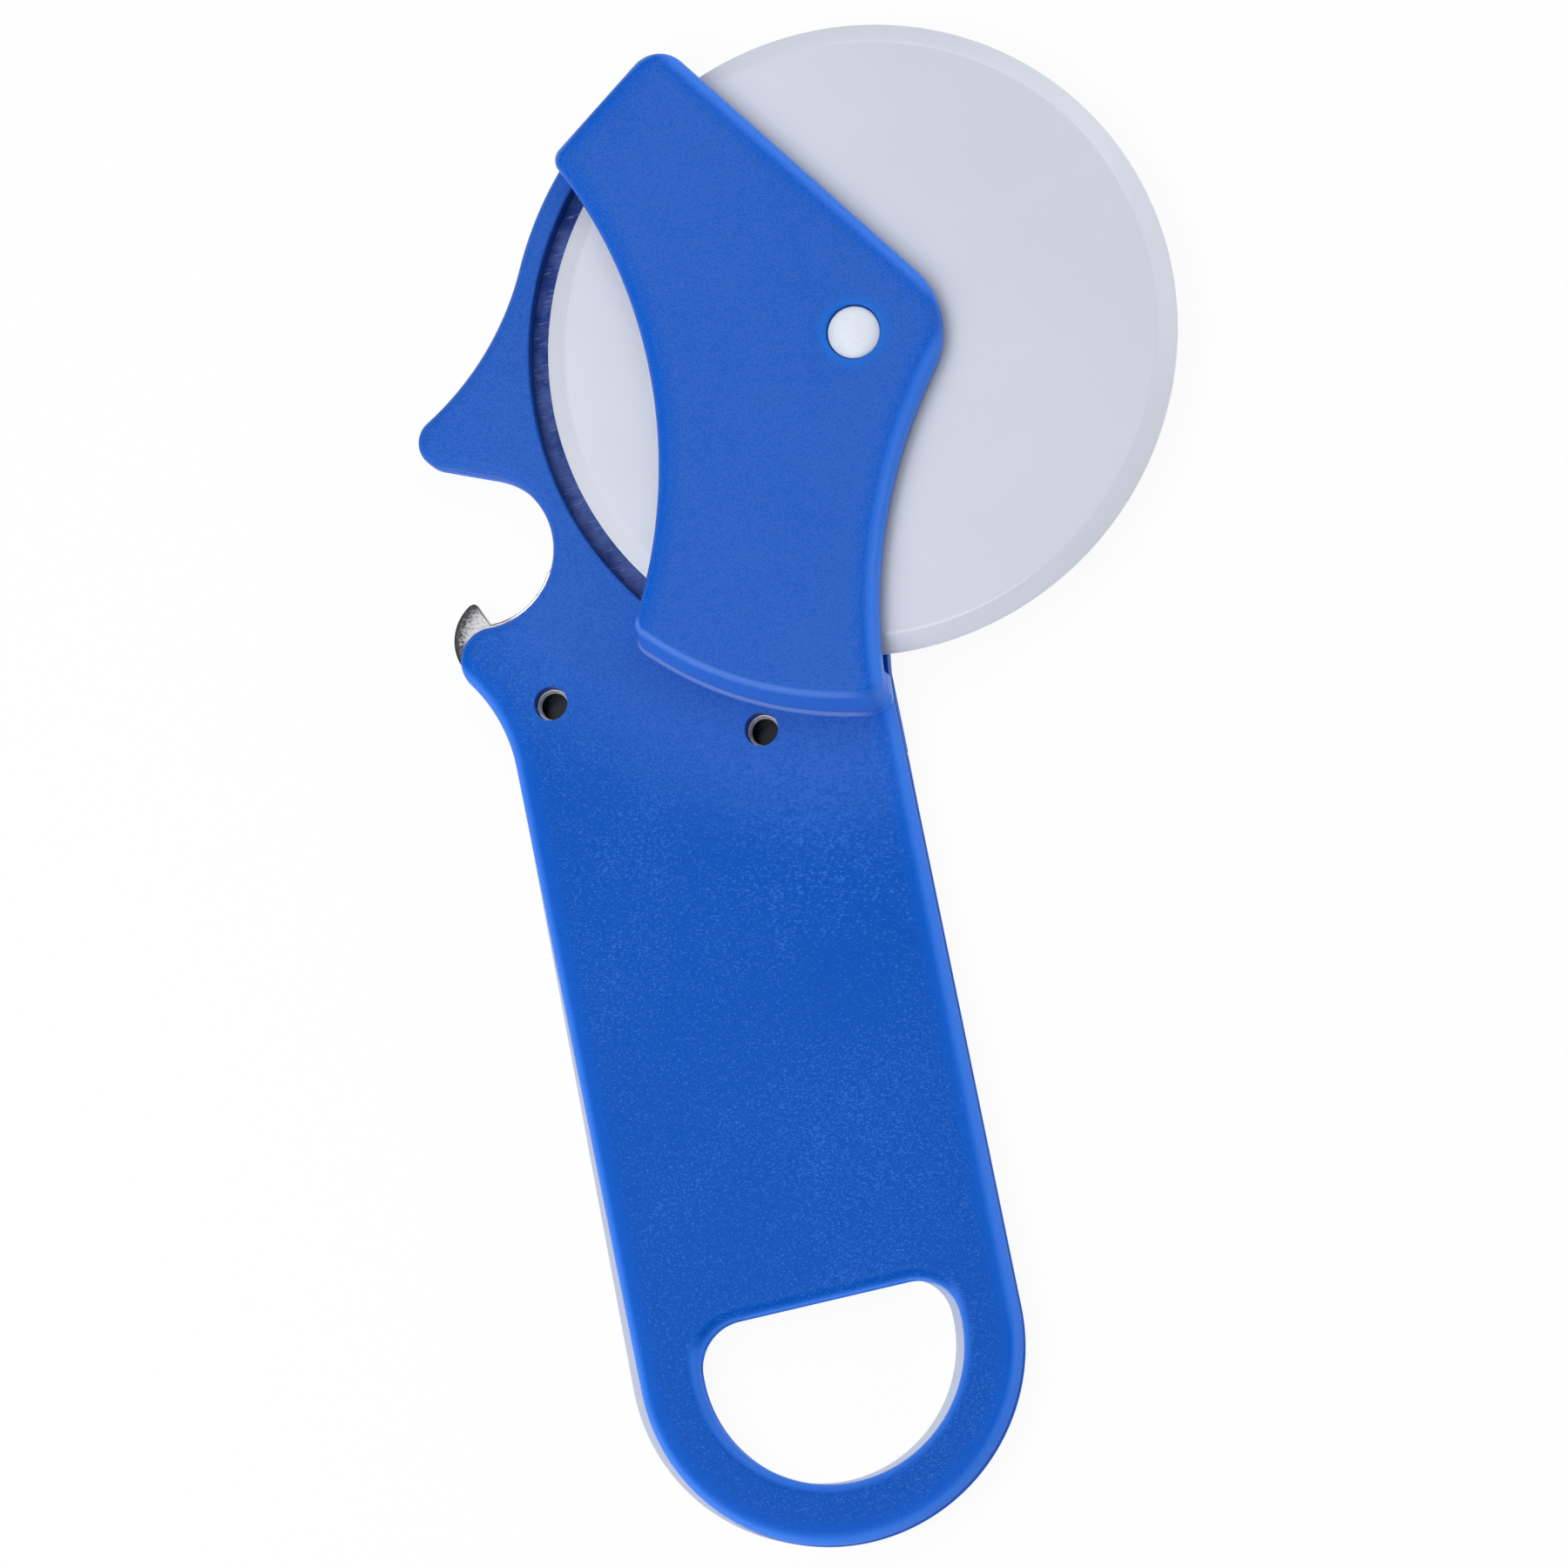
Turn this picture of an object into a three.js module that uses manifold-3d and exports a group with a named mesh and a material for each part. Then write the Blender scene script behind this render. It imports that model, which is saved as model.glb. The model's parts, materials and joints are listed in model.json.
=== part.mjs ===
// Pizza cutter with a bottle opener, in millimetres.
// It lies on its back: +Z comes out of the front face, +Y runs up the handle towards the wheel.
// The origin is on the back of the handle, on its centre line.
import * as THREE from "three";
import { mergeVertices } from "three/addons/utils/BufferGeometryUtils.js";
import Module from "manifold-3d";

const wasm = await Module();
wasm.setup();

const degree = Math.PI / 180;

// Handle
const handleWidth = 53.3;
const handleEndY = -44;
const handleThickness = 6;
const faceThickness = 2;
const wallThickness = 2;
const coverThickness = 2.4;
const edgeRound = 1.2;
const backRound = 0.8;

// Hanging hole: a circle about the centre of the handle's end, cut off flat on its upper side
const holeX = 0.2;
const holeRim = 8.3;
const holeFlat = 6.9;
const holeCorner = 6.3;

// Wheel and its axle
const axleX = 32.6;
const axleY = 91.2;
const wheelRadius = 44;
const wheelThickness = 2.8;
const wheelEdge = 0.6;
const wheelBevel = 2.6;
const hubRadius = 9;
const pinRadius = 3.5;
const pinChamfer = 0.5;
const pinInset = 0.1;

// Room for the wheel, and the blue arm in front of it
const wheelGap = 2.8;
const sideGap = 1.4;
const armThickness = 3.2;
const armTilt = 35.5 * degree;
const armHalfWidth = 12;
const armShort = 0.8;
const armCorner = 4.6;
const armRound = 1.6;
const armTip = 2.2;
const armWaist = 29.1;
const armWaistRise = 2.3;
const armLeftRadius = 70;
const flankRise = 5.1;
const riserWall = 3.5;
const riserSlope = 1.6;

// Bottle opener: lip, round notch and beak on the left of the head
const stripWidth = 3.2;
const notchTurn = 195.16 * degree;
const notchWall = 3.3;
const notchRadius = 10.7;
const lipTurn = 2.8 * degree;
const lipRadius = 4.6;
const humpRadius = 23;
const beakAngle = 23.4 * degree;
const beakLength = 7.9;
const beakTip = 3.62;
const beakRadius = 40.6;
const guardInset = 0.6;
const guardArmInset = 1.25;

// Steel plate between the front shell and the back guard, with the hook that lifts the cap
const plateThickness = 1.2;
const platePeek = 0.8;
const plateStrip = 1.5;
const fingerTurn = 5 * degree;
const fingerWidth = 2.6;
const hookTip = 0.7;
const hookTipX = -1.6;
const hookTipRise = 7.95;
const hookBack = 6.5;
const hookBackX = 1.2;
const hookBackRise = 2.95;

// Tubular rivets, each placed by its turn about the axle and its distance from the wheel's room
const leftRivetTurn = 216.82 * degree;
const leftRivetReach = 18.78;
const rightRivetTurn = 243.76 * degree;
const rightRivetReach = 8.61;
const rivetRadius = 2.05;
const rivetBore = 1.6;
const rivetRoll = 0.35;
const rivetDepth = 0.8;
const rivetFloor = 0.7;
const rivetHeadRadius = 3.4;
const rivetHeadHeight = 0.9;
const rivetHeadInset = 0.2;
const rivetLand = 5;

// White back cover of the handle: it starts below the rivets and sits a little to the left
const coverDrop = 10.2;
const coverLean = 1.4;
const coverTopLean = 0.4;
const coverLift = 0.65;
const postRadius = 2;
const postWall = 1.8;
const postInset = 8.15;
const postTopY = 26;
const postBottomY = -22;
const ribThickness = 1.2;
const ribPitch = 16;

// Clearances
const seam = 0.05;
const fit = 0.3;
const pinFit = 0.1;

const half = handleWidth / 2;
const axle = new THREE.Vector2(axleX, axleY);
const wheelZ = handleThickness;
const guardThickness = wheelZ - wheelThickness / 2 - sideGap;
const armBottom = wheelZ + wheelThickness / 2 + sideGap;
const armTop = armBottom + armThickness;
const shellBottom = coverThickness + seam;
const headBottom = guardThickness + seam;
const cavityRadius = wheelRadius + wheelGap;
const stripRadius = cavityRadius + stripWidth;
const armReach = stripRadius - armShort;
const jointY = axleY - cavityRadius - coverDrop;
const holeRadius = half - holeRim;
const postX = half - postInset;
const farAway = 300;
const curveSteps = 12;
const roundSteps = 2;
const turnSteps = 60;
const smallSteps = 28;

const blue = () => new THREE.MeshStandardMaterial({ color: 0x1c5fc8, roughness: 0.5, metalness: 0 });
const white = () => new THREE.MeshStandardMaterial({ color: 0xd9dde6, roughness: 0.3, metalness: 0 });
const steel = () => new THREE.MeshStandardMaterial({ color: 0xb9bbbd, roughness: 0.3, metalness: 1 });

// A closed geometry as a solid that can be joined and cut.
function solid(geometry) {
  const bare = geometry.clone();
  bare.deleteAttribute("normal");
  bare.deleteAttribute("uv");
  const merged = mergeVertices(bare, 1e-4);
  const triVerts = new Uint32Array(merged.index.array);
  const vertProperties = merged.attributes.position.array;
  return new wasm.Manifold(new wasm.Mesh({ numProp: 3, vertProperties, triVerts }));
}

// A finished solid as a named mesh.
function piece(name, body, material) {
  const mesh = body.getMesh();
  const geometry = new THREE.BufferGeometry();
  geometry.setAttribute("position", new THREE.BufferAttribute(mesh.vertProperties, mesh.numProp));
  geometry.setIndex(new THREE.BufferAttribute(mesh.triVerts, 1));
  geometry.computeVertexNormals();
  const made = new THREE.Mesh(geometry, material);
  made.name = name;
  return made;
}

function block(x0, x1, y0, y1, z0, z1) {
  const box = new THREE.BoxGeometry(x1 - x0, y1 - y0, z1 - z0);
  return solid(box.translate((x0 + x1) / 2, (y0 + y1) / 2, (z0 + z1) / 2));
}

function disc(x, y, radius, z0, z1, steps = smallSteps) {
  const cylinder = new THREE.CylinderGeometry(radius, radius, z1 - z0, steps);
  return solid(cylinder.rotateX(Math.PI / 2).translate(x, y, (z0 + z1) / 2));
}

// A profile of [radius, z] points turned about a vertical line through x, y.
function turned(profile, x, y, steps) {
  const points = profile.map(([radius, z]) => new THREE.Vector2(radius, z));
  const lathe = new THREE.LatheGeometry(points, steps);
  return solid(lathe.rotateX(Math.PI / 2).translate(x, y, 0));
}

// A slab of an outline between two heights, with a rounded rim on its top or its bottom.
function slab(shape, bottom, top, { roundTop = 0, roundBottom = 0 } = {}) {
  const round = Math.max(roundTop, roundBottom);
  const low = roundBottom ? bottom : bottom - round;
  const high = roundTop ? top : top + round;
  const geometry = new THREE.ExtrudeGeometry(shape, {
    depth: high - low - 2 * round,
    curveSegments: curveSteps,
    bevelEnabled: round > 0,
    bevelThickness: round,
    bevelSize: round,
    bevelOffset: -round,
    bevelSegments: roundSteps,
  });
  const body = solid(geometry.translate(0, 0, low + round));
  return round ? body.intersect(block(-farAway, farAway, -farAway, farAway, bottom, top)) : body;
}

function along(start, angle, distance) {
  return new THREE.Vector2(Math.cos(angle), Math.sin(angle)).multiplyScalar(distance).add(start);
}

function angleTo(from, to) {
  return Math.atan2(to.y - from.y, to.x - from.x);
}

// The crossing of two circles that lies to the left when looking from the first centre to the second.
function crossing(first, firstRadius, second, secondRadius) {
  const gap = first.distanceTo(second);
  const cosine = (firstRadius ** 2 + gap ** 2 - secondRadius ** 2) / (2 * firstRadius * gap);
  return along(first, angleTo(first, second) + Math.acos(cosine), firstRadius);
}

const rivets = [
  { name: "rivet_left", ...along(axle, leftRivetTurn, cavityRadius + leftRivetReach) },
  { name: "rivet_right", ...along(axle, rightRivetTurn, cavityRadius + rightRivetReach) },
];

// Centres of the opener's arcs. Each arc runs smoothly into the next.
const notch = along(axle, notchTurn, cavityRadius + notchWall + notchRadius);
const notchStart = -Math.PI / 2 - lipTurn;
const notchEnd = Math.PI / 2 - beakAngle;
const lip = along(notch, notchStart, notchRadius + lipRadius);
const humpSide = lip.x + half + humpRadius;
const humpRise = Math.sqrt((humpRadius + lipRadius) ** 2 - humpSide ** 2);
const hump = new THREE.Vector2(-half - humpRadius, lip.y - humpRise);
const beakFoot = along(notch, notchEnd, notchRadius + beakTip);
const beak = along(beakFoot, notchEnd + Math.PI / 2, beakLength);
const brow = crossing(beak, beakTip + beakRadius, axle, stripRadius + beakRadius);
const armUp = armTilt + Math.PI / 2;

// The outline from the handle's left edge round the opener and the strip beside the wheel to the arm's end.
function traceOpener(path, inset) {
  const humpTurn = angleTo(hump, lip);
  const stripEnd = armUp + Math.acos((armReach - inset) / stripRadius);
  const armEnd = along(axle, armUp, armReach - inset);
  path.absarc(hump.x, hump.y, humpRadius, 0, humpTurn, false);
  path.absarc(lip.x, lip.y, lipRadius, humpTurn + Math.PI, notchStart + Math.PI, true);
  path.absarc(notch.x, notch.y, notchRadius, notchStart, notchEnd, false);
  path.absarc(beak.x, beak.y, beakTip, notchEnd + Math.PI, angleTo(beak, brow), true);
  path.absarc(brow.x, brow.y, beakRadius, angleTo(brow, beak), angleTo(brow, axle), false);
  path.absarc(axle.x, axle.y, stripRadius, angleTo(axle, brow), stripEnd, true);
  path.lineTo(armEnd.x, armEnd.y);
}

// Centres of the arm's arcs: its concave left side, its rounded tips and its concave right side.
const armLeft = new THREE.Vector2(axleX - armWaist - armLeftRadius, axleY + armWaistRise);
const tipLine = along(axle, armUp, armReach - armTip);
const tipSide = (armLeft.x - tipLine.x) * Math.cos(armTilt) + (armLeft.y - tipLine.y) * Math.sin(armTilt);
const tipAway = (armLeft.x - tipLine.x) * Math.cos(armUp) + (armLeft.y - tipLine.y) * Math.sin(armUp);
const tipAlong = tipSide + Math.sqrt((armLeftRadius + armTip) ** 2 - tipAway ** 2);
const tip = along(tipLine, armTilt, tipAlong);
const topCorner = along(along(axle, armUp, armReach - armCorner), armTilt, armHalfWidth - armCorner);
const flankSide = half - axleX;
const flankDrop = axleY - jointY - flankRise;
const flankRadius = (flankSide ** 2 + flankDrop ** 2 - armHalfWidth ** 2) / (2 * (armHalfWidth - flankSide));
const flank = new THREE.Vector2(half + flankRadius, axleY - flankDrop);

// The arm over the wheel, from the top of the handle to the end of the strip.
function armOutline(inset) {
  const path = new THREE.Shape();
  const lowest = -Math.asin((armWaistRise + cavityRadius) / armLeftRadius);
  path.absarc(armLeft.x, armLeft.y, armLeftRadius + inset, lowest, angleTo(armLeft, tip), false);
  path.absarc(tip.x, tip.y, armTip - inset, angleTo(tip, armLeft), armUp, true);
  path.absarc(topCorner.x, topCorner.y, armCorner - inset, armUp, armTilt, true);
  path.absarc(axle.x, axle.y, armHalfWidth - inset, armTilt, angleTo(axle, flank), true);
  path.absarc(flank.x, flank.y, flankRadius + inset, angleTo(flank, axle), Math.PI, false);
  path.lineTo(half - inset, jointY + fit);
  path.closePath();
  return path;
}

// The opener side of the head, down to a straight end across the handle.
function headOutline(bottomY, inset) {
  const path = new THREE.Shape();
  path.moveTo(-half, bottomY);
  path.lineTo(-half, hump.y);
  traceOpener(path, inset);
  path.lineTo(axle.x, axle.y);
  path.lineTo(half, flank.y);
  path.lineTo(half, bottomY);
  path.closePath();
  return path;
}

function hangingHole(x, y, grow) {
  const path = new THREE.Path();
  const radius = holeRadius + grow;
  const corner = holeCorner + grow;
  const flatY = y + holeFlat + grow;
  const cornerY = flatY - corner;
  const cornerX = Math.sqrt((radius - corner) ** 2 - (cornerY - y) ** 2);
  const turn = Math.atan2(cornerY - y, cornerX);
  path.absarc(x - cornerX, cornerY, corner, Math.PI / 2, Math.PI - turn, false);
  path.absarc(x, y, radius, Math.PI - turn, turn, false);
  path.absarc(x + cornerX, cornerY, corner, turn, Math.PI / 2, false);
  path.closePath();
  return path;
}

// The whole front: the head and the handle with its round end and hanging hole.
function shellOutline() {
  const path = new THREE.Shape();
  traceOpener(path, 0);
  path.lineTo(axle.x, axle.y);
  path.lineTo(half, flank.y);
  path.absarc(0, handleEndY, half, 0, Math.PI, true);
  path.closePath();
  path.holes.push(hangingHole(holeX, handleEndY, 0));
  return path;
}

// The handle below the joint, drawn in from its edges; it can lean left towards the end.
function handleOutline(inset, topY, topLean, endLean, lift) {
  const path = new THREE.Shape();
  const side = half - inset;
  const endY = handleEndY + lift;
  path.moveTo(side - topLean, topY);
  path.lineTo(side - endLean, endY);
  path.absarc(-endLean, endY, side, 0, Math.PI, true);
  path.lineTo(-side - topLean, topY);
  path.closePath();
  path.holes.push(hangingHole(holeX - endLean, endY, inset));
  return path;
}

const posts = [postX, -postX].flatMap((x) => [postTopY, postBottomY].map((y) => ({ x, y })));

// The hollow in the back of the handle, with ribs across it and sockets for the cover's posts left standing.
function handleHollow() {
  const top = handleThickness - faceThickness;
  const hollowTopY = jointY - wallThickness;
  let hollow = slab(handleOutline(wallThickness, hollowTopY, 0, 0, 0), 0, top);
  const lastRib = handleEndY + holeRadius;
  for (let y = hollowTopY - ribPitch; y > lastRib; y -= ribPitch) {
    hollow = hollow.subtract(block(-half, half, y - ribThickness / 2, y + ribThickness / 2, 0, top));
  }
  for (const { x, y } of posts) {
    hollow = hollow.subtract(disc(x, y, postRadius + fit + postWall, 0, top));
    hollow = hollow.add(disc(x, y, postRadius + fit, 0, top));
  }
  return hollow;
}

// The sloping riser that carries the arm up from the handle, as a round block about the axle.
function riserBlock() {
  const topRadius = cavityRadius + riserWall;
  const slope = riserSlope / (armTop - handleThickness);
  const radiusAt = (z) => topRadius + slope * (armTop - z);
  const profile = [[0, headBottom], [radiusAt(headBottom), headBottom]];
  const steps = 2 * roundSteps;
  for (let i = 0; i <= steps; i++) {
    const turn = (i / steps) * (Math.PI / 2);
    profile.push([topRadius - armRound * (1 - Math.cos(turn)), armTop - armRound * (1 - Math.sin(turn))]);
  }
  profile.push([0, armTop]);
  return turned(profile, axleX, axleY, 2 * turnSteps);
}

function arm() {
  const body = slab(armOutline(0), headBottom, armTop, { roundTop: armRound });
  const below = block(-farAway, farAway, -farAway, axleY - armHalfWidth, handleThickness, farAway);
  return body.subtract(below.subtract(riserBlock()));
}

function frontShell() {
  let body = slab(shellOutline(), shellBottom, handleThickness, { roundTop: edgeRound });
  body = body.subtract(block(-farAway, farAway, jointY, farAway, 0, headBottom));
  body = body.subtract(handleHollow());
  body = body.add(arm());
  body = body.subtract(disc(axleX, axleY, cavityRadius, 0, armBottom, 2 * turnSteps));
  body = body.subtract(disc(axleX, axleY, pinRadius + fit, armBottom - 1, armTop + 1));
  for (const { x, y } of rivets) {
    body = body.subtract(disc(x, y, rivetRadius + fit, 0, armTop));
  }
  return body;
}

// The steel plate follows the notch on one side and the strip on the other, and ends in two rivet lands.
function plateOutline(grow) {
  const path = new THREE.Shape();
  const [left, right] = rivets.map(({ x, y }) => new THREE.Vector2(x, y));
  const hook = new THREE.Vector2(lip.x + hookTipX, lip.y + hookTipRise);
  const back = new THREE.Vector2(lip.x + hookBackX, lip.y + hookBackRise);
  const land = rivetLand + grow;
  const inner = cavityRadius + plateStrip - grow;
  const edge = notchRadius - platePeek;
  const finger = along(notch, fingerTurn, edge + fingerWidth / 2);
  const across = angleTo(left, right);
  path.absarc(notch.x, notch.y, edge - grow, fingerTurn, notchStart, true);
  path.absarc(hook.x, hook.y, hookTip + grow, beakAngle, angleTo(back, hook), false);
  path.absarc(back.x, back.y, hookBack + grow, angleTo(back, hook), angleTo(back, lip) - Math.PI / 6, false);
  path.absarc(left.x, left.y, land, Math.PI, across + 1.5 * Math.PI, false);
  path.absarc(right.x, right.y, land, across - Math.PI / 2, angleTo(right, axle), false);
  path.absarc(axle.x, axle.y, inner, angleTo(axle, left), angleTo(axle, finger), true);
  path.absarc(finger.x, finger.y, fingerWidth / 2 + grow, fingerTurn, fingerTurn + Math.PI, false);
  path.closePath();
  return path;
}

function openerPlate() {
  const top = guardThickness - seam;
  let body = slab(plateOutline(0), guardThickness - plateThickness, top);
  for (const { x, y } of rivets) {
    body = body.subtract(disc(x, y, rivetRadius + fit, 0, armTop));
  }
  return body;
}

function backGuard() {
  const rim = { roundBottom: backRound };
  let body = slab(headOutline(jointY + fit, guardInset), 0, guardThickness, rim);
  body = body.add(slab(armOutline(guardArmInset), 0, guardThickness, rim));
  body = body.subtract(slab(plateOutline(fit), guardThickness - plateThickness - seam, armTop));
  body = body.subtract(disc(axleX, axleY, pinRadius + fit, -1, armTop));
  for (const { x, y } of rivets) {
    const headTop = rivetHeadInset + rivetHeadHeight + seam;
    body = body.subtract(disc(x, y, rivetRadius + fit, -1, armTop));
    body = body.subtract(disc(x, y, rivetHeadRadius + fit, -1, headTop));
  }
  return body;
}

function handleCover() {
  const outline = handleOutline(0, jointY, coverTopLean, coverLean, coverLift);
  let body = slab(outline, 0, coverThickness, { roundBottom: backRound });
  for (const { x, y } of posts) {
    body = body.add(disc(x, y, postRadius, coverThickness / 2, handleThickness - faceThickness - fit));
  }
  return body;
}

// A hollow rivet: a flat head at the back, an open tube with a rolled rim at the front.
function rivet(x, y) {
  const headTop = rivetHeadInset + rivetHeadHeight;
  const top = handleThickness - rivetDepth;
  const profile = [
    [0, rivetHeadInset],
    [rivetHeadRadius, rivetHeadInset],
    [rivetHeadRadius, headTop],
    [rivetRadius, headTop],
    [rivetRadius, top - rivetRoll],
    [(rivetRadius + rivetBore) / 2, top],
    [rivetBore, top - rivetRoll],
    [rivetBore, headTop + rivetFloor],
    [0, headTop + rivetFloor],
  ];
  return turned(profile, x, y, smallSteps);
}

function cuttingWheel() {
  const bore = pinRadius + pinFit;
  const hubHalf = wheelThickness / 2 + sideGap - fit;
  const webHalf = wheelThickness / 2;
  const flatRadius = wheelRadius - wheelBevel;
  const profile = [
    [bore, wheelZ - hubHalf],
    [hubRadius, wheelZ - hubHalf],
    [hubRadius, wheelZ - webHalf],
    [flatRadius, wheelZ - webHalf],
    [wheelRadius, wheelZ - wheelEdge / 2],
    [wheelRadius, wheelZ + wheelEdge / 2],
    [flatRadius, wheelZ + webHalf],
    [hubRadius, wheelZ + webHalf],
    [hubRadius, wheelZ + hubHalf],
    [bore, wheelZ + hubHalf],
    [bore, wheelZ - hubHalf],
  ];
  return turned(profile, axleX, axleY, 2 * turnSteps);
}

// The pin is pressed into the hub and turns in the holes of the arm and the guard.
function axlePin() {
  const profile = [
    [0, pinInset],
    [pinRadius - pinChamfer, pinInset],
    [pinRadius, pinInset + pinChamfer],
    [pinRadius, armTop - pinInset - pinChamfer],
    [pinRadius - pinChamfer, armTop - pinInset],
    [0, armTop - pinInset],
  ];
  return turned(profile, axleX, axleY, smallSteps);
}

const cutter = new THREE.Group();
const wheelGroup = new THREE.Group();
wheelGroup.add(piece("cutting_wheel", cuttingWheel(), white()));
wheelGroup.add(piece("axle_pin", axlePin(), white()));
cutter.add(piece("front_shell", frontShell(), blue()));
cutter.add(piece("back_guard", backGuard(), blue()));
cutter.add(piece("handle_cover", handleCover(), white()));
cutter.add(piece("opener_plate", openerPlate(), steel()));
for (const { name, x, y } of rivets) {
  cutter.add(piece(name, rivet(x, y), steel()));
}
cutter.add(wheelGroup);

export default cutter;
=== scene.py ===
import json
import math
import bmesh
import bpy
from mathutils import Matrix, Vector

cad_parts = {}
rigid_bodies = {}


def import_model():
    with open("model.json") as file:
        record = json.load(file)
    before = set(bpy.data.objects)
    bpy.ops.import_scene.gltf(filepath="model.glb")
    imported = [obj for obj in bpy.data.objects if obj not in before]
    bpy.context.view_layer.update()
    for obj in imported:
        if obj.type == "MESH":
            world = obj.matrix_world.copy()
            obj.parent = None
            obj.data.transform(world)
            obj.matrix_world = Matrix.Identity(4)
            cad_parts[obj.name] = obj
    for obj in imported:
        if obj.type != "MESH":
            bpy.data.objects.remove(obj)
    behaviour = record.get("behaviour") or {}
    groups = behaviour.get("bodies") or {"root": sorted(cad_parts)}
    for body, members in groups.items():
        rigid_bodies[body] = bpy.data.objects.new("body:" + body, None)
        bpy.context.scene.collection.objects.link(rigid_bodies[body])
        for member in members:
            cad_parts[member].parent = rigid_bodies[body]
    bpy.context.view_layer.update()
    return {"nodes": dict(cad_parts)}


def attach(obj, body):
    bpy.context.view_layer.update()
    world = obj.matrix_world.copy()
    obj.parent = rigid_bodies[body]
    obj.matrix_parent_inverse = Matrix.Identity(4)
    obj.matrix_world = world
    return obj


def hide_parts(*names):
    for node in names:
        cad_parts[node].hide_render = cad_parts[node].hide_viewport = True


for old in list(bpy.data.objects):
    bpy.data.objects.remove(old)
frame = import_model()
print("frame loaded:", len(frame["nodes"]), "nodes")

mm = 0.001
turn = 2 * math.pi

# heights and places that more than one piece uses, in millimetres
layout = {
    "half": 26.65, "endY": -44.0, "jointY": 34.2, "seamGap": 0.3,
    "axle": Vector((32.6, 91.2)), "cavity": 46.8, "strip": 50.0,
    "face": 6.0, "armBottom": 8.8, "armTop": 12.0,
    "guardTop": 3.2, "headBottom": 3.25, "coverTop": 2.4, "shellBottom": 2.45, "slotY": 44.0,
}
half, axle = layout["half"], layout["axle"]


def polar(centre, angle, distance):
    return Vector((centre.x + math.cos(angle) * distance, centre.y + math.sin(angle) * distance))


def angleTo(start, end):
    return math.atan2(end.y - start.y, end.x - start.x)


def crossing(first, firstRadius, second, secondRadius, side=1):
    gap = (second - first).length
    cosine = (firstRadius ** 2 + gap ** 2 - secondRadius ** 2) / (2 * firstRadius * gap)
    return polar(first, angleTo(first, second) + side * math.acos(cosine), firstRadius)


# a stroke is a point (x, y), or an arc (centre, radius, from, to, clockwise, steps)
def drawRing(bm, strokes, z):
    chain = []

    def pointOn(spot):
        if not chain:
            chain.append(bm.verts.new((spot.x * mm, spot.y * mm, z * mm)))
        elif (chain[-1].co.xy - spot * mm).length > 1e-7:
            tip = bmesh.ops.extrude_vert_indiv(bm, verts=[chain[-1]])["verts"][0]
            tip.co.xy = spot * mm
            chain.append(tip)

    for stroke in strokes:
        if len(stroke) == 2:
            pointOn(Vector(stroke))
            continue
        centre, radius, start, end, clockwise, steps = stroke
        pointOn(polar(centre, start, radius))
        sweep = (end - start) % turn - (turn if clockwise else 0)
        before = len(bm.verts)
        bmesh.ops.spin(bm, geom=[chain[-1]], cent=(centre.x * mm, centre.y * mm, z * mm),
                       axis=(0, 0, 1), angle=sweep, steps=steps, use_duplicate=False, use_merge=False)
        bm.verts.ensure_lookup_table()
        chain.extend(bm.verts[before:])
    if (chain[-1].co - chain[0].co).length < 1e-7:
        bm.verts.remove(chain.pop())
    bm.edges.new((chain[-1], chain[0]))
    return chain


def ringEdges(bm, chain):
    return [bm.edges.get(pair) for pair in zip(chain, chain[1:] + chain[:1])]


# the first ring is drawn, each next one is extruded from it and set on its own (inset, z) level
def slabMesh(levels, *outlines):
    bm = bmesh.new()
    ends = [[], []]
    for outline in outlines:
        chain = drawRing(bm, outline(*levels[0]), levels[0][1])
        ends[0] += ringEdges(bm, chain)
        for inset, z in levels[1:]:
            sketch = bmesh.new()
            spots = [vert.co.copy() for vert in drawRing(sketch, outline(inset, z), z)]
            sketch.free()
            grown = set(bmesh.ops.extrude_edge_only(bm, edges=ringEdges(bm, chain))["geom"])
            chain = [next(e.other_vert(v) for e in v.link_edges if e.other_vert(v) in grown) for v in chain]
            for vert, spot in zip(chain, spots):
                vert.co = spot
        ends[1] += ringEdges(bm, chain)
    for edges in ends:
        bmesh.ops.triangle_fill(bm, use_beauty=True, use_dissolve=False, edges=edges)
    return bm


# a profile of (radius, z) points turned about a vertical line
def turnedMesh(profile, centre, steps):
    bm = bmesh.new()
    verts = [bm.verts.new(((centre.x + radius) * mm, centre.y * mm, z * mm)) for radius, z in profile]
    edges = [bm.edges.new(pair) for pair in zip(verts, verts[1:])]
    bmesh.ops.spin(bm, geom=verts + edges, cent=(centre.x * mm, centre.y * mm, 0),
                   axis=(0, 0, 1), angle=turn, steps=steps, use_merge=True)
    return bm


# round from the wall up to the face, which it meets at a lead angle, and a flat band inside it
def roundLevels(radius, top, lead=0.0, band=0.35, steps=8):
    last = math.pi / 2 - math.radians(lead)
    angles = [step / steps * last for step in range(steps + 1)]
    levels = [(radius * (1 - math.cos(a)), top - radius * (math.sin(last) - math.sin(a))) for a in angles]
    return levels + [(levels[-1][0] + band, top)]


def solidObject(name, bm):
    bmesh.ops.remove_doubles(bm, verts=bm.verts, dist=1e-7)
    bmesh.ops.recalc_face_normals(bm, faces=bm.faces)
    mesh = bpy.data.meshes.new(name)
    bm.to_mesh(mesh)
    bm.free()
    made = bpy.data.objects.new(name, mesh)
    bpy.context.scene.collection.objects.link(made)
    return made


def carve(target, tool, operation="DIFFERENCE"):
    change = target.modifiers.new("carve", "BOOLEAN")
    change.operation, change.solver, change.object = operation, "EXACT", tool
    graph = bpy.context.evaluated_depsgraph_get()
    mesh = bpy.data.meshes.new_from_object(target.evaluated_get(graph))
    target.modifiers.clear()
    target.data = mesh
    mesh.name = target.name
    bpy.data.objects.remove(tool)


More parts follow.
